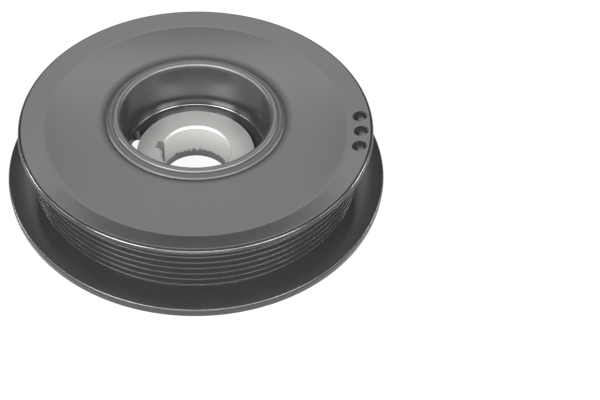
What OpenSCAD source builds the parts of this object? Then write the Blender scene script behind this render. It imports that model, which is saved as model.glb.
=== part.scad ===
// Harmonic balancer for a crankshaft nose: a cup-shaped hub, a rubber ring bonded round it,
// and a heavy inertia ring whose outside is the ribbed belt track.
// The axis is +Z and the back end of the hub's nose is at Z = 0. The front face looks along +Z.

/* [Bore and keyway] */
// Diameter of the crankshaft bore
bore_d = 32; // [24:0.5:38]
// Chamfer at both ends of the bore
bore_chamfer = 0.9; // [0.3:0.1:1.5]
// Width of the keyway
key_w = 5; // [3:0.5:8]
// Depth of the keyway beyond the bore's wall
key_depth = 3; // [1.5:0.1:4]
// Azimuth of the keyway, counted from +X towards +Y
key_azimuth = 167; // [0:1:359]

/* [Nose] */
// Diameter of the seal journal on the nose
journal_d = 48; // [45:0.5:52]
// Length of the nose behind the web
nose_length = 13; // [8:0.5:20]
// Lead-in chamfer at the end of the nose
nose_chamfer = 1.5; // [0.5:0.1:2.5]
// Fillet between the nose and the back of the web
nose_fillet = 1.8; // [0.5:0.1:2.4]

/* [Hub cup] */
// Thickness of the hub's web
web_thickness = 5.7; // [4:0.1:9]
// Diameter of the machined boss that the bolt clamps
boss_d = 55; // [46:0.5:56]
// Height of the boss above the web
boss_height = 1.6; // [0.5:0.1:3]
// Inside diameter of the bolt recess
recess_d = 67.8; // [66:0.1:70]
// How far the lip stands above the inner edge of the inertia ring's face
lip_proud = 1; // [0.4:0.1:5]
// Fillet between the recess's wall and the web
recess_fillet = 1.3; // [0.5:0.1:2]
// Wall of the hub's cup
cup_wall = 3.3; // [2.8:0.1:5]
// Rounding of the lip towards the recess
lip_inner_round = 1.6; // [0.6:0.1:1.8]
// Rounding of the lip towards the rubber
lip_outer_round = 1.1; // [0.4:0.1:1.1]
// Chamfer of the cup's back edge
cup_back_chamfer = 0.8; // [0.3:0.1:1]

/* [Cast windows] */
// Number of windows through the web
window_count = 2; // [1:1:4]
// Azimuth of the first window
window_azimuth = 168; // [0:1:359]
// Angle that the straight stretch of each window spans
window_span = 24; // [8:1:40]
// Distance that a window keeps from the boss and from the recess's wall
window_margin = 0.3; // [0.1:0.1:1.5]
// Draft that narrows each side of a window towards the back
window_draft = 0.5; // [0:0.1:0.8]

/* [Rubber ring] */
// Radial thickness of the rubber
rubber_t = 3; // [2:0.1:6]
// How far the rubber's front end lies below the edge of the inertia ring's bore
rubber_inset = 0.1; // [0.1:0.1:3]
// How much higher the rubber's front end meets the hub's cup than the inertia ring
rubber_climb = 0.8; // [0:0.1:1]
// How far the rubber's back end lies inside the ring's back
rubber_back_inset = 1.1; // [0.5:0.1:3]
// Crown of the rubber's ends between the two metal parts
rubber_crown = 0.5; // [0.1:0.1:0.9]

/* [Inertia ring] */
// Diameter of the front flange
front_flange_d = 158.4; // [156:0.2:166]
// Diameter of the back flange
back_flange_d = 174.9; // [166:0.1:180]
// Thickness of the back flange
back_flange_t = 4.1; // [2.5:0.1:7]
// Thickness of the front flange from the belt track to the rim
front_flange_t = 4; // [3:0.1:7]
// How far the ring's back stands behind the hub's web
ring_setback = 0.8; // [0:0.1:3]
// How far the face lies below the rim where the raised rim begins
face_dish = 2.1; // [0.6:0.1:2.2]
// How far the face rises again from there to its inner edge
face_rise = 2.1; // [0.2:0.1:2.4]
// Diameter at which the raised rim begins
face_d = 137.4; // [110:0.2:140]
// Length over which the face turns up into the rim
shoulder_blend = 3; // [1:0.5:8]
// Rounding of the front flange's rim
rim_round = 1.6; // [0.5:0.1:1.8]
// Straight edge below the rim's rounding
rim_edge = 0.3; // [0.2:0.1:1]
// Rounding of the back flange's front edge
back_flange_round = 1; // [0.4:0.1:1.4]
// Chamfer of the back flange's rear edge
back_flange_chamfer = 0.6; // [0.3:0.1:1]
// Width over which the face rolls off towards the rubber
face_roll_w = 3; // [1:0.1:4]
// Radius of that roll-off
face_roll_r = 6; // [5:0.5:10]

/* [Belt track] */
// Number of grooves
groove_count = 6; // [4:1:8]
// Distance from groove to groove
groove_pitch = 3.56; // [3.3:0.01:3.6]
// Depth of the grooves
groove_depth = 2.7; // [2:0.1:2.8]
// Width of the flat at the top of each rib
rib_top_w = 0.9; // [0.7:0.05:1.1]
// Bevel of each rib's edges
rib_bevel = 0.15; // [0.05:0.05:0.2]
// Diameter over the ribs
track_d = 151; // [147:0.2:152]
// Land between the end ribs and the flanges
track_land = 0.35; // [0.1:0.05:1]

/* [Balance holes] */
// Number of drilled balance holes
balance_count = 3; // [1:1:6]
// Diameter of the balance holes
balance_d = 6.4; // [3:0.1:7]
// Depth to the start of the drill point, below the lowest part of the face
balance_depth = 0; // [0:0.1:6]
// Distance from the rim's rounding in to the circle of the balance holes
balance_inset = 3.9; // [3.4:0.1:12]
// Azimuth of the first balance hole
balance_azimuth = -1.4; // [-180:0.1:180]
// Angle from one balance hole to the next, clockwise
balance_step = 7.5; // [6:0.1:20]

/* [Back relief] */
// Depth of the cast relief in the inertia ring's back
relief_depth = 3; // [1:0.1:3.5]
// Inner diameter of the relief
relief_inner_d = 94; // [88:1:104]
// Outer diameter of the relief
relief_outer_d = 140; // [120:1:144]
// Draft of the relief's walls
relief_draft = 0.8; // [0.2:0.1:1.5]

/* [Hidden] */
$fn = 180;

// Overlap that a cutting tool runs past the faces it opens
past = 1;
// Steps of a quarter round in a turned profile
quarter_steps = 6;
// Half of the point angle of a twist drill
drill_half_angle = 59;
// Most of the raised rim's width that its rounding may take
rim_round_share = 0.35;

// Heights on the hub, from the nose end upwards
web_back_z = nose_length;
web_front_z = web_back_z + web_thickness;
boss_z = web_front_z + boss_height;

// Radii from the axis outwards
bore_r = bore_d / 2;
journal_r = journal_d / 2;
boss_r = boss_d / 2;
recess_r = recess_d / 2;
cup_r = recess_r + cup_wall;
ring_inner_r = cup_r + rubber_t;
face_r = face_d / 2;
front_flange_r = front_flange_d / 2;
back_flange_r = back_flange_d / 2;
track_r = track_d / 2;
groove_r = track_r - groove_depth;

// Heights on the inertia ring
ring_back_z = web_back_z - ring_setback;
ledge_z = ring_back_z + back_flange_t;
track_z = ledge_z + track_land + rib_top_w / 2;
track_end_z = track_z + groove_count * groove_pitch;
flange_under_z = track_end_z + rib_top_w / 2 + track_land;
rim_z = flange_under_z + front_flange_t;
shoulder_z = rim_z - face_dish;
face_edge_z = shoulder_z + face_rise;
lip_z = face_edge_z + lip_proud;
rim_fillet = min(rim_round, (front_flange_r - face_r) * rim_round_share);
rim_start_r = front_flange_r - rim_fillet;

// Slope of the face, which falls outwards, and of the raised rim, which climbs and touches the rim's rounding
face_fall = atan(face_rise / (face_r - ring_inner_r));
rim_centre = [rim_start_r, rim_z - rim_fillet];
to_rim = rim_centre - [face_r, shoulder_z];
rim_climb = atan2(to_rim.y, to_rim.x) + asin(rim_fillet / norm(to_rim));

// Roll-off at the face's inner edge: its tilt at the bore, its centre and the height where the bore begins
roll_tilt = asin(face_roll_w / face_roll_r - sin(face_fall));
roll_r = ring_inner_r + face_roll_r * sin(roll_tilt);
roll_z = face_edge_z - (roll_r - ring_inner_r) * tan(face_fall) - face_roll_r / cos(face_fall);
bore_edge_z = roll_z + face_roll_r * cos(roll_tilt);

// Points of an arc about a centre, from one angle to another
function arc(centre, radius, from, to, steps = quarter_steps) =
    [for (i = [0 : steps])
        let (angle = from + (to - from) * i / steps)
        [centre.x + radius * cos(angle), centre.y + radius * sin(angle)]];

// Profile of the hub: nose, web, cup wall, rounded lip, recess and boss
module hub_profile() {
    polygon(concat(
        [[bore_r + bore_chamfer, 0],
         [journal_r - nose_chamfer, 0],
         [journal_r, nose_chamfer]],
        arc([journal_r + nose_fillet, web_back_z - nose_fillet], nose_fillet, 180, 90),
        [[cup_r - cup_back_chamfer, web_back_z],
         [cup_r, web_back_z + cup_back_chamfer]],
        arc([cup_r - lip_outer_round, lip_z - lip_outer_round], lip_outer_round, 0, 90),
        arc([recess_r + lip_inner_round, lip_z - lip_inner_round], lip_inner_round, 90, 180),
        arc([recess_r - recess_fillet, web_front_z + recess_fillet], recess_fillet, 0, -90),
        [[boss_r, web_front_z],
         [boss_r, boss_z],
         [bore_r + bore_chamfer, boss_z],
         [bore_r, boss_z - bore_chamfer],
         [bore_r, bore_chamfer]]));
}

// Keyway cut through the bore's whole length
module keyway_cut() {
    rotate([0, 0, key_azimuth])
        translate([0, -key_w / 2, -past])
            cube([bore_r + key_depth, key_w, boss_z + 2 * past]);
}

// One window: a drafted arc slot with round ends
module window_cut() {
    middle_r = (boss_r + recess_r) / 2;
    front_w = (recess_r - boss_r) / 2 - window_margin;
    back_w = front_w - window_draft;
    draft_past = window_draft * past / web_thickness;
    low = web_back_z - past;
    high = web_front_z + past;
    rotate([0, 0, -window_span / 2])
        rotate_extrude(angle = window_span)
            polygon([[middle_r - back_w + draft_past, low],
                     [middle_r + back_w - draft_past, low],
                     [middle_r + front_w + draft_past, high],
                     [middle_r - front_w - draft_past, high]]);
    for (end = [-1, 1])
        rotate([0, 0, end * window_span / 2])
            translate([middle_r, 0, low])
                cylinder(h = high - low, r1 = back_w - draft_past, r2 = front_w + draft_past);
}

// Hub: cast cup with a web, a machined boss, the keyed bore and the nose
module hub() {
    color("#6e6e70")
        difference() {
            rotate_extrude()
                hub_profile();
            keyway_cut();
            for (i = [0 : window_count - 1])
                rotate([0, 0, window_azimuth + i * 360 / window_count])
                    window_cut();
        }
}

// Crowned end of the rubber between two points: an arc that bulges by the crown to the right of that line
function crowned_end(from, to) =
    let (along = to - from,
         half = norm(along) / 2,
         crown_r = (half * half + rubber_crown * rubber_crown) / (2 * rubber_crown),
         outwards = atan2(-along.x, along.y),
         spread = asin(half / crown_r),
         middle = (from + to) / 2,
         centre = middle - (crown_r - rubber_crown) * [cos(outwards), sin(outwards)])
    arc(centre, crown_r, outwards - spread, outwards + spread);

// Rubber ring: a moulded band with crowned ends, held between hub and inertia ring
module rubber_ring() {
    back_z = ring_back_z + rubber_back_inset + rubber_crown;
    front_z = bore_edge_z - rubber_inset;
    color("#303030")
        rotate_extrude()
            polygon(concat(
                crowned_end([ring_inner_r, front_z], [cup_r, front_z + rubber_climb]),
                crowned_end([cup_r, back_z], [ring_inner_r, back_z])));
}

// Points of one rib of the belt track, from its foot to the foot of the next
function rib_points(z) =
    let (half = rib_top_w / 2,
         root = (groove_pitch - rib_top_w) / 2 - groove_depth * tan(20))
    [[track_r - rib_bevel, z - half],
     [track_r, z - half + rib_bevel],
     [track_r, z + half - rib_bevel],
     [track_r - rib_bevel, z + half],
     [groove_r, z + groove_pitch / 2 - root],
     [groove_r, z + groove_pitch / 2 + root]];

// Belt track from the back flange to the front flange, with a rib at each end
function track_points() =
    concat(
        [[track_r - rib_bevel - track_land, ledge_z]],
        [for (i = [0 : groove_count - 1]) each rib_points(track_z + i * groove_pitch)],
        [[track_r - rib_bevel, track_end_z - rib_top_w / 2],
         [track_r, track_end_z - rib_top_w / 2 + rib_bevel],
         [track_r, track_end_z + rib_top_w / 2 - rib_bevel],
         [track_r - rib_bevel - track_land, flange_under_z]]);

// Shoulder: the arc through which the falling face turns up into the cone of the raised rim
function shoulder_points() =
    let (half = shoulder_blend / 2,
         blend_r = half / tan((rim_climb + face_fall) / 2),
         start = [face_r - half * cos(face_fall), shoulder_z + half * sin(face_fall)])
    arc(start + blend_r * [sin(face_fall), cos(face_fall)], blend_r, 270 + rim_climb, 270 - face_fall);

// Profile of the inertia ring
module ring_profile() {
    relief_inner_r = relief_inner_d / 2;
    relief_outer_r = relief_outer_d / 2;
    polygon(concat(
        [[ring_inner_r, ring_back_z + back_flange_chamfer],
         [ring_inner_r + back_flange_chamfer, ring_back_z],
         [relief_inner_r, ring_back_z],
         [relief_inner_r + relief_draft, ring_back_z + relief_depth],
         [relief_outer_r - relief_draft, ring_back_z + relief_depth],
         [relief_outer_r, ring_back_z],
         [back_flange_r - back_flange_chamfer, ring_back_z],
         [back_flange_r, ring_back_z + back_flange_chamfer]],
        arc([back_flange_r - back_flange_round, ledge_z - back_flange_round], back_flange_round, 0, 90),
        track_points(),
        [[front_flange_r, rim_z - rim_fillet - rim_edge]],
        arc(rim_centre, rim_fillet, 0, 90 + rim_climb),
        shoulder_points(),
        arc([roll_r, roll_z], face_roll_r, 90 - face_fall, 90 + roll_tilt)));
}

// Drilled balance hole with the drill's cone at its bottom
module balance_hole() {
    point_h = balance_d / 2 / tan(drill_half_angle);
    bottom_z = shoulder_z - balance_depth;
    translate([rim_start_r - balance_inset, 0, bottom_z])
        cylinder(h = rim_z - bottom_z + past, d = balance_d);
    translate([rim_start_r - balance_inset, 0, bottom_z - point_h])
        cylinder(h = point_h, d1 = 0, d2 = balance_d);
}

// Inertia ring: cast iron, turned all over, with the belt track on its outside
module inertia_ring() {
    color("#5a5a5c")
        difference() {
            rotate_extrude()
                ring_profile();
            for (i = [0 : balance_count - 1])
                rotate([0, 0, balance_azimuth - i * balance_step])
                    balance_hole();
        }
}

hub();
rubber_ring();
inertia_ring();
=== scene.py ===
import math

import bmesh
import bpy
from mathutils import Matrix, Vector


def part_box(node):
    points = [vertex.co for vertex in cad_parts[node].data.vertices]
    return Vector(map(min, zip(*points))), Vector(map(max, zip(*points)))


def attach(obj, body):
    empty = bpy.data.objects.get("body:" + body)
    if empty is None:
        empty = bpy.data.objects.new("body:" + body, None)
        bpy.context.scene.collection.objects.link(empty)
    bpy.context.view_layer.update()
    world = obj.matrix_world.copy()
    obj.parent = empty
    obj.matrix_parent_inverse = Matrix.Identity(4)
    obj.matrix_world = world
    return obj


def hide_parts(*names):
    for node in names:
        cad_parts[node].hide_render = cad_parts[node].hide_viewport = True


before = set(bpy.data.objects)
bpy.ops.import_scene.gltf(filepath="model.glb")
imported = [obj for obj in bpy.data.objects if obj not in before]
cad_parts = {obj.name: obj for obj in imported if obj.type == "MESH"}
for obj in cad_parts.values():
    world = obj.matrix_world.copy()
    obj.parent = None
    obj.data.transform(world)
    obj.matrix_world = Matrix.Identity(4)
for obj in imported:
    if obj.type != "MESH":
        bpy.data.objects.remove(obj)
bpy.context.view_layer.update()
scene = bpy.context.scene
MM = 0.001

# Inertia ring
# One heavy ring of grey iron, turned all over except for the cast relief in its back: dished face, raised
# rim, six-groove belt track and wide back flange. Three holes are drilled near the rim to balance it, and
# it is dipped in black paint together with the rubber and the hub. Sizes are in millimetres.
RING_SEGMENTS = 360
RING_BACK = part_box("inertia_ring")[0].z / MM
RING_BORE_R = 40.2
RING_EDGE_ROUND = 0.6

# Back flange, and the relief in the ring's back
BACK_FLANGE_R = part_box("inertia_ring")[1].y / MM
BACK_FLANGE_T = 4.1
BACK_FLANGE_ROUND = 1.0
RELIEF_INNER_R = 47.0
RELIEF_OUTER_R = 70.0
RELIEF_DEPTH = 3.0
RELIEF_DRAFT = 0.8
RELIEF_EDGE_ROUND = 0.8
RELIEF_FILLET = 1.2

# Belt track
TRACK_R = 75.5
TRACK_LAND = 0.35
TRACK_FOOT_FILLET = 0.1
GROOVE_COUNT = 6
GROOVE_PITCH = 3.56
GROOVE_DEPTH = 2.7
GROOVE_HALF_ANGLE = math.radians(20)
GROOVE_FILLET = 0.2
RIB_TOP = 0.9
RIB_ROUND = 0.18
RIB_BEVEL = 0.15
END_RIB_ROUND = 0.15

# Front flange, and the face inside it
FRONT_FLANGE_R = 79.2
FRONT_FLANGE_T = 4.0
FRONT_FLANGE_ROUND = 0.2
RIM_ROUND = 1.6
RIM_EDGE = 0.3
SHOULDER_R = 68.7
SHOULDER_BLEND = 3.0
FACE_DISH = 2.1
FACE_RISE = 2.1
ROLL_WIDTH = 3.0
ROLL_RADIUS = 6.0

# Balance holes. The drill's point is given by half of its angle.
BALANCE_R = 73.7
BALANCE_HOLE_R = 3.2
BALANCE_AZIMUTHS = (-1.4, -8.9, -16.4)
DRILL_POINT = math.radians(59)
DRILL_SEGMENTS = 64

# Degrees that one step of an arc turns, how far a cutting tool runs past the faces that it opens, and the
# angle from which two faces meet in a sharp edge
ARC_STEP = 9
TOOL_PAST = 1.0
SHARP_ANGLE = math.radians(30)

# Heights from the ring's back to its rim
LEDGE_Z = RING_BACK + BACK_FLANGE_T
FLANGE_UNDER = LEDGE_Z + 2 * TRACK_LAND + RIB_TOP + GROOVE_COUNT * GROOVE_PITCH
RIM_TOP = FLANGE_UNDER + FRONT_FLANGE_T
SHOULDER_Z = RIM_TOP - FACE_DISH
FACE_EDGE_Z = SHOULDER_Z + FACE_RISE

# The face falls outwards to the shoulder, and from there the raised rim climbs to its own rounding.
FACE_FALL = math.atan(FACE_RISE / (SHOULDER_R - RING_BORE_R))
to_rim = Vector((FRONT_FLANGE_R - RIM_ROUND - SHOULDER_R, RIM_TOP - RIM_ROUND - SHOULDER_Z))
RIM_CLIMB = math.atan2(to_rim.y, to_rim.x) + math.asin(RIM_ROUND / to_rim.length)

# The face's inner edge rolls off towards the rubber, round a centre that lies below the face's line.
ROLL_TILT = math.asin(ROLL_WIDTH / ROLL_RADIUS - math.sin(FACE_FALL))
roll_inset = ROLL_RADIUS * math.sin(ROLL_TILT)
roll_fall = roll_inset * math.tan(FACE_FALL) + ROLL_RADIUS / math.cos(FACE_FALL)
BORE_EDGE_Z = FACE_EDGE_Z - roll_fall + ROLL_RADIUS * math.cos(ROLL_TILT)

# Patterns of the paint film: cloudy patches and orange peel
PATCH_SIZE = 14.0
PEEL_SIZE = 0.9
PEEL_DEPTH = 0.02
PEEL_STRENGTH = 0.12

# Roughness of the film, what is added to it at the back and round the rubber joint, and the heights and
# radii between which the added part fades
SATIN = (0.18, 0.23)
BACK_DULLNESS = 0.08
BACK_FADE_Z = (LEDGE_Z + 0.3, LEDGE_Z + 0.9)
LIP_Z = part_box("hub")[1].z / MM
JOINT_DULLNESS = 0.25
JOINT_FADE_R = (41.5, 44.0)
JOINT_FADE_Z = (LIP_Z - 3.0, LIP_Z - 2.0)

# The back flange is crowned outside this radius, by so many millimetres at a distance of 1 mm. The fall
# grows with the square of the distance.
CROWN_START_R = 79.0
CROWN_RATE = 0.0095


def rounded(corners):
    """Turns corners of (radius, height, rounding) into points, with an arc where there is a rounding."""
    points = []
    for i, (r, z, rounding) in enumerate(corners):
        here = Vector((r, z))
        if not rounding:
            points.append(here)
            continue
        to_last = Vector(corners[i - 1][:2]) - here
        to_next = Vector(corners[(i + 1) % len(corners)][:2]) - here
        half = to_last.angle(to_next) / 2
        setback = rounding / math.tan(half)
        inwards = (to_last.normalized() + to_next.normalized()).normalized()
        centre = here + inwards * rounding / math.sin(half)
        start = here + to_last.normalized() * setback - centre
        end = here + to_next.normalized() * setback - centre
        sweep = start.angle_signed(end)
        steps = max(2, round(abs(math.degrees(sweep)) / ARC_STEP))
        for k in range(steps + 1):
            points.append(centre + Matrix.Rotation(-sweep * k / steps, 2) @ start)
    return points


def ring_of_points(mesh, radius, height, segments):
    """Adds points at even steps round the axis to a mesh in metres, from sizes in millimetres."""
    ring = []
    for k in range(segments):
        angle = 2 * math.pi * k / segments
        x, y = radius * math.cos(angle), radius * math.sin(angle)
        ring.append(mesh.verts.new((x * MM, y * MM, height * MM)))
    return ring


def join_rings(mesh, lower, upper):
    """Closes the band between two rings of equally many points."""
    for k in range(len(lower)):
        after = (k + 1) % len(lower)
        mesh.faces.new((lower[k], lower[after], upper[after], upper[k]))


def finished_piece(name, mesh):
    """Makes an object of a bmesh, shaded smooth."""
    data = bpy.data.meshes.new(name)
    mesh.to_mesh(data)
    mesh.free()
    data.shade_smooth()
    piece = bpy.data.objects.new(name, data)
    scene.collection.objects.link(piece)
    return piece


def finished_solid(name, mesh):
    """Makes an object of a closed bmesh, with all its faces looking outwards."""
    bmesh.ops.recalc_face_normals(mesh, faces=mesh.faces)
    return finished_piece(name, mesh)


def turned(name, corners, segments):
    """A closed solid of revolution about Z, from an outline in millimetres."""
    mesh = bmesh.new()
    rings = [ring_of_points(mesh, r, z, segments) for r, z in rounded(corners)]
    for i, ring in enumerate(rings):
        join_rings(mesh, ring, rings[(i + 1) % len(rings)])
    return finished_solid(name, mesh)


def cut(piece, cutter):
    """Takes the cutter's shape out of the piece and removes the cutter."""
    boolean = piece.modifiers.new("cut", "BOOLEAN")
    boolean.operation = "DIFFERENCE"
    boolean.solver = "EXACT"
    boolean.object = cutter
    scene_state = bpy.context.evaluated_depsgraph_get()
    made = bpy.data.meshes.new_from_object(piece.evaluated_get(scene_state))
    piece.modifiers.clear()
    piece.data = made
    bpy.data.objects.remove(cutter)


def back_corners():
    """Outline of the ring's back, from the bore's edge past the relief and round the back flange."""
    relief_z = RING_BACK + RELIEF_DEPTH
    return [
        (RING_BORE_R, RING_BACK, RING_EDGE_ROUND),
        (RELIEF_INNER_R, RING_BACK, RELIEF_EDGE_ROUND),
        (RELIEF_INNER_R + RELIEF_DRAFT, relief_z, RELIEF_FILLET),
        (RELIEF_OUTER_R - RELIEF_DRAFT, relief_z, RELIEF_FILLET),
        (RELIEF_OUTER_R, RING_BACK, RELIEF_EDGE_ROUND),
        (BACK_FLANGE_R, RING_BACK, RING_EDGE_ROUND),
        (BACK_FLANGE_R, LEDGE_Z, BACK_FLANGE_ROUND),
    ]


def track_corners():
    """Outline of the belt track, from its foot on the back flange to its foot under the front flange."""
    foot_r = TRACK_R - RIB_BEVEL - TRACK_LAND
    groove_r = TRACK_R - GROOVE_DEPTH
    root = (GROOVE_PITCH - RIB_TOP) / 2 - GROOVE_DEPTH * math.tan(GROOVE_HALF_ANGLE)
    first_rib = LEDGE_Z + TRACK_LAND + RIB_TOP / 2
    corners = [
        (foot_r, LEDGE_Z, TRACK_FOOT_FILLET),
        (TRACK_R, LEDGE_Z + TRACK_LAND + RIB_BEVEL, END_RIB_ROUND),
    ]
    for i in range(GROOVE_COUNT):
        rib = first_rib + i * GROOVE_PITCH
        corners += [
            (TRACK_R, rib + RIB_TOP / 2, RIB_ROUND),
            (groove_r, rib + GROOVE_PITCH / 2 - root, GROOVE_FILLET),
            (groove_r, rib + GROOVE_PITCH / 2 + root, GROOVE_FILLET),
            (TRACK_R, rib + GROOVE_PITCH - RIB_TOP / 2, RIB_ROUND),
        ]
    corners += [
        (TRACK_R, FLANGE_UNDER - TRACK_LAND - RIB_BEVEL, END_RIB_ROUND),
        (foot_r, FLANGE_UNDER, TRACK_FOOT_FILLET),
    ]
    return corners


def front_corners():
    """Outline of the front flange and the face, in to the bore."""
    rim_corner_z = SHOULDER_Z + (FRONT_FLANGE_R - SHOULDER_R) * math.tan(RIM_CLIMB)
    shoulder_round = SHOULDER_BLEND / 2 / math.tan((RIM_CLIMB + FACE_FALL) / 2)
    roll_setback = ROLL_RADIUS * math.tan((FACE_FALL + ROLL_TILT) / 2)
    roll_corner_r = RING_BORE_R + roll_setback * math.cos(ROLL_TILT)
    roll_corner_z = BORE_EDGE_Z + roll_setback * math.sin(ROLL_TILT)
    return [
        (FRONT_FLANGE_R, RIM_TOP - RIM_ROUND - RIM_EDGE, FRONT_FLANGE_ROUND),
        (FRONT_FLANGE_R, rim_corner_z, RIM_ROUND),
        (SHOULDER_R, SHOULDER_Z, shoulder_round),
        (roll_corner_r, roll_corner_z, ROLL_RADIUS),
        (RING_BORE_R, BORE_EDGE_Z, 0),
    ]


def balance_drill(azimuth):
    """The drill for one balance hole. Its point starts at the height of the shoulder."""
    mesh = bmesh.new()
    lower = ring_of_points(mesh, BALANCE_HOLE_R, SHOULDER_Z, DRILL_SEGMENTS)
    upper = ring_of_points(mesh, BALANCE_HOLE_R, RIM_TOP + TOOL_PAST, DRILL_SEGMENTS)
    point_length = BALANCE_HOLE_R / math.tan(DRILL_POINT)
    tip = mesh.verts.new((0, 0, (SHOULDER_Z - point_length) * MM))
    join_rings(mesh, lower, upper)
    for k in range(DRILL_SEGMENTS):
        mesh.faces.new((lower[(k + 1) % DRILL_SEGMENTS], lower[k], tip))
    mesh.faces.new(upper)
    place = Matrix.Rotation(math.radians(azimuth), 4, "Z") @ Matrix.Translation((BALANCE_R * MM, 0, 0))
    bmesh.ops.transform(mesh, matrix=place, verts=mesh.verts)
    return finished_solid("balance_drill", mesh)


def linear(hex_colour):
    """Turns an sRGB hex colour into the linear values that a shader takes."""
    channels = [int(hex_colour[i:i + 2], 16) / 255 for i in (1, 3, 5)]
    return [c / 12.92 if c <= 0.04045 else ((c + 0.055) / 1.055) ** 2.4 for c in channels] + [1.0]


def add(tree, kind, inputs=None, **settings):
    """Adds a node: settings are its properties, and each input is a value or another node's output."""
    node = tree.nodes.new(kind)
    for name, value in settings.items():
        setattr(node, name, value)
    for socket, value in (inputs or {}).items():
        if isinstance(value, bpy.types.NodeSocket):
            tree.links.new(value, node.inputs[socket])
        else:
            node.inputs[socket].default_value = value
    return node


def new_material(name):
    """An empty material and its node tree, with the output node in it."""
    material = bpy.data.materials.new(name)
    material.use_nodes = True
    tree = material.node_tree
    tree.nodes.clear()
    return material, tree, add(tree, "ShaderNodeOutputMaterial")


def axis_distance(tree, place):
    """How far each point of the surface lies from the axis, in metres."""
    flat = add(tree, "ShaderNodeVectorMath", {0: place, 1: (1, 1, 0)}, operation="MULTIPLY")
    length = add(tree, "ShaderNodeVectorMath", {0: flat.outputs["Vector"]}, operation="LENGTH")
    return length.outputs["Value"]


def film_roughness(tree, patches, radius, height):
    """Satin in soft patches, and duller at the back and where the film bridges the rubber joint.

    The back is all that lies no higher than the back flange. The joint is the hub's lip, the rubber's
    front and the inner edge of the face.
    """
    satin = add(tree, "ShaderNodeMapRange", {"Value": patches, "To Min": SATIN[0], "To Max": SATIN[1]})
    at_back = add(tree, "ShaderNodeMapRange", {
        "Value": height, "From Min": BACK_FADE_Z[0] * MM, "From Max": BACK_FADE_Z[1] * MM,
        "To Min": BACK_DULLNESS, "To Max": 0.0})
    at_joint = add(tree, "ShaderNodeMapRange", {
        "Value": radius, "From Min": JOINT_FADE_R[0] * MM, "From Max": JOINT_FADE_R[1] * MM,
        "To Min": JOINT_DULLNESS, "To Max": 0.0})
    on_front = add(tree, "ShaderNodeMapRange", {
        "Value": height, "From Min": JOINT_FADE_Z[0] * MM, "From Max": JOINT_FADE_Z[1] * MM})
    seam = add(tree, "ShaderNodeMath", {0: at_joint.outputs["Result"], 1: on_front.outputs["Result"]},
               operation="MULTIPLY")
    film = add(tree, "ShaderNodeMath", {0: satin.outputs["Result"], 1: at_back.outputs["Result"]},
               operation="ADD")
    dulled = add(tree, "ShaderNodeMath", {0: film.outputs[0], 1: seam.outputs[0]}, operation="ADD")
    return dulled.outputs["Value"]


def flange_crown(tree, radius):
    """Shades the flat back flange as slightly crowned. The slope grows to 9 degrees at its edge."""
    beyond = add(tree, "ShaderNodeMath", {0: radius, 1: CROWN_START_R * MM}, operation="SUBTRACT")
    outwards = add(tree, "ShaderNodeMath", {0: beyond.outputs[0], 1: 0.0}, operation="MAXIMUM")
    squared = add(tree, "ShaderNodeMath", {0: outwards.outputs[0], 1: 2.0}, operation="POWER")
    fall = add(tree, "ShaderNodeMath", {0: squared.outputs[0], 1: -CROWN_RATE / MM}, operation="MULTIPLY")
    return add(tree, "ShaderNodeBump", {"Height": fall.outputs[0], "Distance": 1.0}).outputs["Normal"]


def black_dip_paint(name, dark, light, film_ior=1.5):
    """Black dip paint, the film of one bath over iron and rubber.

    It gives the eye a near black with a satin gloss that mirrors the lamps softly. Cloudy patches and a
    faint orange peel break the gloss up.
    """
    material, tree, output = new_material(name)
    place = add(tree, "ShaderNodeTexCoord").outputs["Object"]
    height = add(tree, "ShaderNodeSeparateXYZ", {"Vector": place}).outputs["Z"]
    radius = axis_distance(tree, place)
    patches = add(tree, "ShaderNodeTexNoise", {
        "Vector": place, "Scale": 1 / (PATCH_SIZE * MM), "Detail": 3.0}).outputs["Fac"]
    colour = add(tree, "ShaderNodeMix", {
        "Factor": patches, "A": linear(dark), "B": linear(light)}, data_type="RGBA")
    peel = add(tree, "ShaderNodeTexNoise", {
        "Vector": place, "Scale": 1 / (PEEL_SIZE * MM), "Detail": 2.0})
    bump = add(tree, "ShaderNodeBump", {
        "Height": peel.outputs["Fac"], "Strength": PEEL_STRENGTH, "Distance": PEEL_DEPTH * MM,
        "Normal": flange_crown(tree, radius)})
    paint = add(tree, "ShaderNodeBsdfPrincipled", {
        "Base Color": colour.outputs["Result"], "IOR": film_ior, "Normal": bump.outputs["Normal"],
        "Roughness": film_roughness(tree, patches, radius, height)})
    tree.links.new(paint.outputs["BSDF"], output.inputs["Surface"])
    return material


ring_corners = back_corners() + track_corners() + front_corners()
inertia_ring = turned("inertia_ring_turned", ring_corners, RING_SEGMENTS)
for azimuth in BALANCE_AZIMUTHS:
    cut(inertia_ring, balance_drill(azimuth))
inertia_ring.data.set_sharp_from_angle(angle=SHARP_ANGLE)
inertia_ring.data.materials.append(black_dip_paint("ring_dip_paint", dark="#1b1b1c", light="#202021"))
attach(inertia_ring, "root")
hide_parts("inertia_ring")

# Rubber ring
# A band of moulded nitrile rubber between hub and inertia ring, bulged a little at both ends by the press
# fit. It went through the paint bath with the rest. Its film is drawn a lighter grey than the iron's:
# painted light in the shaded joint between hub and ring.
RUBBER_SEGMENTS = 240
CUP_R = 37.2
RUBBER_FRONT_INSET = 0.1
RUBBER_BACK_INSET = 1.1
RUBBER_CROWN = 0.5
RUBBER_CLIMB = 0.8

# Share of the crown's radius that its arc gets, so that it ends just short of the outline's own points
CROWN_SHARE = 0.999


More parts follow.
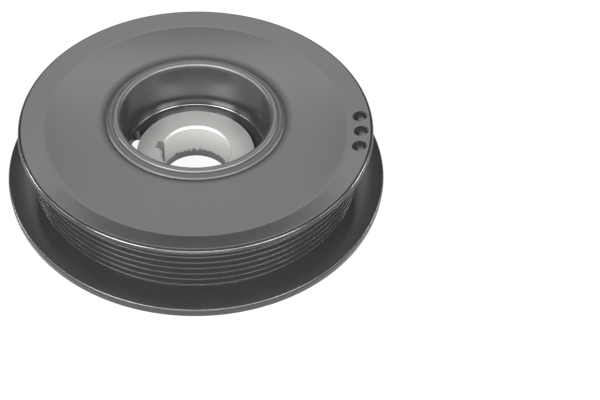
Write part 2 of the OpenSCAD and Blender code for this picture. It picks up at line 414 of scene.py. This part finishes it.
def crowned_end(start, end):
    """The ends of an arc that bulges to the right of the line between them, and the corner it rounds."""
    start, end = Vector(start), Vector(end)
    along = end - start
    half = along.length / 2
    crown_r = (half * half + RUBBER_CROWN * RUBBER_CROWN) / (2 * RUBBER_CROWN)
    peak = half * math.tan(math.asin(half / crown_r))
    corner = (start + end) / 2 + Vector((along.y, -along.x)).normalized() * peak
    return [(*start, 0), (*corner, crown_r * CROWN_SHARE), (*end, 0)]


def rubber_corners():
    """Outline of the band, with an arc across each end. The front end climbs towards the hub's cup."""
    front = BORE_EDGE_Z - RUBBER_FRONT_INSET
    back = RING_BACK + RUBBER_BACK_INSET + RUBBER_CROWN
    front_end = crowned_end((RING_BORE_R, front), (CUP_R, front + RUBBER_CLIMB))
    back_end = crowned_end((CUP_R, back), (RING_BORE_R, back))
    return front_end + back_end


rubber_ring = turned("rubber_ring_moulded", rubber_corners(), RUBBER_SEGMENTS)
rubber_ring.data.set_sharp_from_angle(angle=SHARP_ANGLE)
# Painted light: the rubber's film is drawn lighter than the ring's, in the shaded joint.
rubber_ring.data.materials.append(black_dip_paint("rubber_dip_paint", dark="#2b2b2b", light="#313131"))
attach(rubber_ring, "root")
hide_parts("rubber_ring")

# Hub
# One iron casting: nose, web with two cast windows, cup wall and rounded lip, with the rubber round it. It
# is painted with the ring, and then the boss that the bolt clamps, the bore and the seal journal on the
# nose are machined bare.
HUB_SEGMENTS = 300
BORE_R = 16.0
BORE_CHAMFER = 0.9
BORE_EDGE_ROUND = 0.1
KEY_AZIMUTH = math.radians(167)
KEY_W = 5.0
KEY_DEPTH = 3.0

# Nose and web
JOURNAL_R = 24.0
NOSE_CHAMFER = 1.5
NOSE_EDGE_ROUND = 0.2
JOURNAL_EDGE_ROUND = 0.3
NOSE_FILLET = 1.8
WEB_BACK = 13.0
WEB_FRONT = 18.7
BOSS_R = 27.5
BOSS_Z = 20.3
BOSS_FILLET = 0.3
BOSS_EDGE_ROUND = 0.2

# Cup
CUP_BACK_ROUND = 0.8
LIP_OUTER_ROUND = 1.1
LIP_INNER_ROUND = 1.6
RECESS_R = 33.9
RECESS_FILLET = 1.3

# Windows: azimuths and span in degrees, and half of the width at the core's back and front ends
WINDOW_AZIMUTHS = (168, 348)
WINDOW_SPAN = 24
WINDOW_BACK_HALF_W = 2.3
WINDOW_FRONT_HALF_W = 3.0
WINDOW_STEPS = 12

# Margin round the machined places when the faces on them are picked out
PICK_MARGIN = 0.1

# Patterns of the bare iron: rings from the tool and soft patches. The wave texture goes through 20 radians
# in each unit of length at a scale of 1.
TOOL_RING_PITCH = 0.5
TOOL_RING_DEPTH = 0.02
TOOL_RING_STRENGTH = 0.15
WAVE_RATE = 20
IRON_PATCH_SIZE = 9.0

# The iron is drawn paler inside this radius, which takes in the bore's wall: painted light, for the
# lamps in front that light the wall.
PAINTED_BORE_LIGHT_R = BORE_R + 0.2

# The darker lower band: how high it reaches, how far its ragged edge strays from that, and how fine the
# edge is. Most of a noise texture's values lie within the last range.
DARK_BAND_Z = 5.4
DARK_BAND_STRAY = 1.0
DARK_BAND_GRAIN = 1.3
NOISE_RANGE = (0.3, 0.7)


def hub_corners():
    """Outline of the hub from the bore's back edge round the outside to the bore's front edge."""
    return [
        (BORE_R + BORE_CHAMFER, 0, BORE_EDGE_ROUND),
        (JOURNAL_R - NOSE_CHAMFER, 0, NOSE_EDGE_ROUND),
        (JOURNAL_R, NOSE_CHAMFER, JOURNAL_EDGE_ROUND),
        (JOURNAL_R, WEB_BACK, NOSE_FILLET),
        (CUP_R, WEB_BACK, CUP_BACK_ROUND),
        (CUP_R, LIP_Z, LIP_OUTER_ROUND),
        (RECESS_R, LIP_Z, LIP_INNER_ROUND),
        (RECESS_R, WEB_FRONT, RECESS_FILLET),
        (BOSS_R, WEB_FRONT, BOSS_FILLET),
        (BOSS_R, BOSS_Z, BOSS_EDGE_ROUND),
        (BORE_R + BORE_CHAMFER, BOSS_Z, BORE_EDGE_ROUND),
        (BORE_R, BOSS_Z - BORE_CHAMFER, BORE_EDGE_ROUND),
        (BORE_R, BORE_CHAMFER, BORE_EDGE_ROUND),
    ]


def keyway_tool():
    """A bar for the keyway, from the axis to its bottom, that runs past both ends of the bore."""
    reach = BORE_R + KEY_DEPTH
    size = Matrix.Diagonal((reach * MM, KEY_W * MM, (BOSS_Z + 2 * TOOL_PAST) * MM, 1))
    middle = Matrix.Translation((reach / 2 * MM, 0, BOSS_Z / 2 * MM))
    mesh = bmesh.new()
    bmesh.ops.create_cube(mesh, size=1, matrix=Matrix.Rotation(KEY_AZIMUTH, 4, "Z") @ middle @ size)
    return finished_piece("keyway_tool", mesh)


def window_outline(azimuth, half_w):
    """Points in millimetres round an arc slot with round ends, midway between boss and recess wall."""
    middle_r = (BOSS_R + RECESS_R) / 2
    points = []
    for side in (1, -1):
        r = middle_r + side * half_w
        for k in range(WINDOW_STEPS + 1):
            angle = math.radians(azimuth + side * (WINDOW_SPAN / 2 - WINDOW_SPAN * k / WINDOW_STEPS))
            points.append((r * math.cos(angle), r * math.sin(angle)))
        end = math.radians(azimuth - side * WINDOW_SPAN / 2)
        for k in range(1, WINDOW_STEPS):
            turn = end - math.pi * k / WINDOW_STEPS
            x = middle_r * math.cos(end) + side * half_w * math.cos(turn)
            y = middle_r * math.sin(end) + side * half_w * math.sin(turn)
            points.append((x, y))
    return points


def window_core(azimuth):
    """A core for one cast window, a little narrower towards the back, that runs past the web's faces."""
    back_end = (WEB_BACK - TOOL_PAST, WINDOW_BACK_HALF_W)
    front_end = (WEB_FRONT + TOOL_PAST, WINDOW_FRONT_HALF_W)
    mesh = bmesh.new()
    rings = []
    for z, half_w in (back_end, front_end):
        outline = window_outline(azimuth, half_w)
        rings.append([mesh.verts.new((x * MM, y * MM, z * MM)) for x, y in outline])
    join_rings(mesh, *rings)
    for ring in rings:
        mesh.faces.new(ring)
    return finished_solid("window_core", mesh)


def darker_lower_band(tree, place, bump):
    """A darker, rougher grey over the nose's lower end, in the bore and on the journal, up to a ragged
    edge.

    Returns where it lies, as 0 or 1, and its shader.
    """
    height = add(tree, "ShaderNodeSeparateXYZ", {"Vector": place}).outputs["Z"]
    ragged = add(tree, "ShaderNodeTexNoise", {
        "Vector": place, "Scale": 1 / (DARK_BAND_GRAIN * MM), "Detail": 2.0})
    edge = add(tree, "ShaderNodeMapRange", {
        "Value": ragged.outputs["Fac"], "From Min": NOISE_RANGE[0], "From Max": NOISE_RANGE[1],
        "To Min": (DARK_BAND_Z - DARK_BAND_STRAY) * MM, "To Max": (DARK_BAND_Z + DARK_BAND_STRAY) * MM})
    below = add(tree, "ShaderNodeMath", {0: height, 1: edge.outputs["Result"]}, operation="LESS_THAN")
    film = add(tree, "ShaderNodeBsdfPrincipled", {
        "Base Color": linear("#5a5a59"), "Roughness": 0.45, "Normal": bump.outputs["Normal"]})
    return below.outputs[0], film.outputs["BSDF"]


def turned_iron(name):
    """Bare grey iron, turned on a lathe.

    It gives the eye a light grey metal with a dull sheen and fine rings from the tool. The bore is drawn
    paler, as painted light.
    The rings are drawn 0.5 mm apart, coarser than they are, so that they show.
    """
    material, tree, output = new_material(name)
    place = add(tree, "ShaderNodeTexCoord").outputs["Object"]
    rings = add(tree, "ShaderNodeTexWave", {
        "Vector": place, "Scale": 2 * math.pi / (WAVE_RATE * TOOL_RING_PITCH * MM), "Distortion": 0.6,
        "Detail": 2.0}, wave_type="RINGS", rings_direction="Z")
    bump = add(tree, "ShaderNodeBump", {
        "Height": rings.outputs["Fac"], "Strength": TOOL_RING_STRENGTH, "Distance": TOOL_RING_DEPTH * MM})
    patches = add(tree, "ShaderNodeTexNoise", {
        "Vector": place, "Scale": 1 / (IRON_PATCH_SIZE * MM), "Detail": 3.0})
    colour = add(tree, "ShaderNodeMix", {
        "Factor": patches.outputs["Fac"], "A": linear("#7c7c7a"), "B": linear("#8b8b89")},
        data_type="RGBA")
    # The bore's wall gets a paler grey: painted light, where the lamps in front light it.
    in_bore = add(tree, "ShaderNodeMath", {
        0: axis_distance(tree, place), 1: PAINTED_BORE_LIGHT_R * MM}, operation="LESS_THAN")
    colour_with_bore_light = add(tree, "ShaderNodeMix", {
        "Factor": in_bore.outputs[0], "A": colour.outputs["Result"], "B": linear("#aaaaa8")},
        data_type="RGBA")
    tangent = add(tree, "ShaderNodeTangent", direction_type="RADIAL", axis="Z")
    iron = add(tree, "ShaderNodeBsdfPrincipled", {
        "Base Color": colour_with_bore_light.outputs["Result"], "Metallic": 0.3, "Roughness": 0.42, "Anisotropic": 0.3,
        "Normal": bump.outputs["Normal"], "Tangent": tangent.outputs["Tangent"]})
    # Below a ragged edge near the nose's end, the bare iron is drawn a darker, rougher grey.
    in_dark_band, film = darker_lower_band(tree, place, bump)
    both = add(tree, "ShaderNodeMixShader", {0: in_dark_band, 1: iron.outputs["BSDF"], 2: film})
    tree.links.new(both.outputs[0], output.inputs["Surface"])
    return material


def is_machined(face):
    """Whether a face of the hub is on the boss, in the bore or its keyway, or on the nose."""
    r, z = math.hypot(face.center.x, face.center.y) / MM, face.center.z / MM
    on_boss = z > WEB_FRONT + PICK_MARGIN and r < BOSS_R
    in_bore = r < BORE_R + KEY_DEPTH + PICK_MARGIN
    on_nose = z < WEB_BACK - NOSE_FILLET
    return on_boss or in_bore or on_nose


hub = turned("hub_cast", hub_corners(), HUB_SEGMENTS)
cut(hub, keyway_tool())
for azimuth in WINDOW_AZIMUTHS:
    cut(hub, window_core(azimuth))
hub.data.set_sharp_from_angle(angle=SHARP_ANGLE)

# The hub's film mirrors more than the ring's, which lifts the lip and the web out of the dark recess. Its
# colour is also drawn a lighter grey than the ring's: painted light in the shaded recess.
hub.data.materials.append(black_dip_paint("hub_dip_paint", dark="#252526", light="#2a2a2b", film_ior=1.8))
hub.data.materials.append(turned_iron("turned_bare_iron"))
for face in hub.data.polygons:
    face.material_index = 1 if is_machined(face) else 0
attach(hub, "root")
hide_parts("hub")

# Camera
# The photograph looks down on the part from the front, and the part sits left of the frame's middle.
# The lens axis and the middle of the front rim are pixels of the 600 x 400 photograph.
PHOTO_WIDTH, PHOTO_HEIGHT = 600, 400
LENS, SENSOR = 51.0, 36.0
LENS_AXIS = (196.0, 165.0)
RIM_MIDDLE = (195.4, 113.6)
CAMERA_DISTANCE = 381.9 * MM
CAMERA_ELEVATION = math.radians(42.0)
CAMERA_ROLL = math.radians(0.61)
NEAREST_SEEN, FARTHEST_SEEN = 10 * MM, 20


def photograph_camera():
    """Places the camera so that the middle of the front rim falls on its pixel."""
    data = bpy.data.cameras.new("camera")
    data.lens = LENS
    data.sensor_width = SENSOR
    data.shift_x = (PHOTO_WIDTH / 2 - LENS_AXIS[0]) / PHOTO_WIDTH
    data.shift_y = (LENS_AXIS[1] - PHOTO_HEIGHT / 2) / PHOTO_WIDTH
    data.clip_start = NEAREST_SEEN
    data.clip_end = FARTHEST_SEEN
    camera = bpy.data.objects.new("camera", data)
    scene.collection.objects.link(camera)
    up, out = math.sin(CAMERA_ELEVATION), math.cos(CAMERA_ELEVATION)
    aimed = Matrix(((1, 0, 0), (0, up, out), (0, -out, up)))
    pixels = PHOTO_WIDTH * LENS / SENSOR
    to_middle = Vector((RIM_MIDDLE[0] - LENS_AXIS[0], LENS_AXIS[1] - RIM_MIDDLE[1], -pixels))
    turn = Vector((0, 0, -1)).rotation_difference(to_middle).to_matrix()
    rotation = (turn @ Matrix.Rotation(CAMERA_ROLL, 3, "Z") @ aimed).transposed()
    place = Vector((0, -out, up)) * CAMERA_DISTANCE + Vector((0, 0, RIM_TOP * MM))
    camera.matrix_world = Matrix.Translation(place) @ rotation.to_4x4()
    scene.camera = camera


photograph_camera()

# Studio
# A plain pale table, and a tall soft panel behind and above the part, which the face mirrors evenly. The
# lamps at the sides and in front draw the bright lines along the rounded edges, and light the recess and
# the belt track. Sizes and distances are in metres, and a radiance of 1 is as bright as white.
FLOOR_HALF_SIZE = 4.0
TABLE_GLOW = 0.93


def softbox(name, azimuth, elevation, distance, width, height, radiance):
    """A rectangular lamp that faces the part. Azimuth 0 is behind the part as the camera sees it."""
    data = bpy.data.lights.new(name, "AREA")
    data.shape = "RECTANGLE"
    data.size, data.size_y = width, height
    data.energy = radiance * 4 * width * height
    lamp = bpy.data.objects.new(name, data)
    scene.collection.objects.link(lamp)
    turn, lift = math.radians(azimuth), math.radians(elevation)
    away = Vector((math.sin(turn) * math.cos(lift), math.cos(turn) * math.cos(lift), math.sin(lift)))
    lamp.location = away * distance
    lamp.rotation_euler = away.to_track_quat("Z", "Y").to_euler()
    lamp.visible_camera = False


softbox("back_panel_low", 0, 36, 2.4, 1.4, 0.26, 3.3)
softbox("back_panel_middle", 0, 45, 2.4, 1.4, 0.5, 2.4)
softbox("back_panel_high", 0, 58, 2.4, 1.4, 0.6, 2.85)
softbox("back_panel_top", 0, 74, 2.4, 1.4, 0.7, 0.8)
softbox("left_side", -76, 20, 1.6, 0.4, 0.3, 30.0)
softbox("right_side", 76, 20, 1.6, 0.4, 0.3, 26.0)
softbox("left_fill", -99, 31, 1.6, 0.5, 0.2, 20.0)
softbox("right_fill", 99, 31, 1.6, 0.5, 0.2, 17.0)
softbox("left_key", -136, 36, 1.6, 0.8, 0.5, 29.0)
softbox("right_key", 136, 36, 1.6, 0.8, 0.5, 20.0)
softbox("front_strip", 180, 12, 1.6, 1.2, 0.3, 11.0)
softbox("front_top_strip", 180, 44, 1.6, 1.0, 0.26, 21.0)


def matt_table_top(name):
    """A matt pale table top, which the camera and the reflections see as nearly white.

    Most of that white is its own glow. The rest is lit by the lamps and keeps the part's shadow.
    """
    material, tree, output = new_material(name)
    path = add(tree, "ShaderNodeLightPath").outputs
    direct = add(tree, "ShaderNodeMath", {0: path["Is Camera Ray"], 1: path["Is Glossy Ray"]},
                 operation="MAXIMUM")
    seen = add(tree, "ShaderNodeMath", {0: direct.outputs[0], 1: path["Is Transmission Ray"]},
               operation="MAXIMUM")
    share = add(tree, "ShaderNodeMath", {0: seen.outputs[0], 1: TABLE_GLOW}, operation="MULTIPLY")
    pale = add(tree, "ShaderNodeBsdfDiffuse", {"Color": linear("#dcdcdc")})
    white = add(tree, "ShaderNodeEmission", {"Color": (1, 1, 1, 1), "Strength": 1.0})
    mixed = add(tree, "ShaderNodeMixShader", {
        0: share.outputs[0], 1: pale.outputs[0], 2: white.outputs[0]})
    tree.links.new(mixed.outputs[0], output.inputs["Surface"])
    return material


floor_mesh = bmesh.new()
bmesh.ops.create_grid(floor_mesh, x_segments=1, y_segments=1, size=FLOOR_HALF_SIZE)
floor = finished_piece("floor", floor_mesh)
floor.data.materials.append(matt_table_top("pale_table"))

world = bpy.data.worlds.new("studio")
scene.world = world
world.use_nodes = True
world.node_tree.nodes.clear()
world_output = add(world.node_tree, "ShaderNodeOutputWorld")
dim = add(world.node_tree, "ShaderNodeBackground", {"Color": linear("#2a2a2a"), "Strength": 1.0})
world.node_tree.links.new(dim.outputs[0], world_output.inputs["Surface"])
scene.view_settings.view_transform = "Standard"
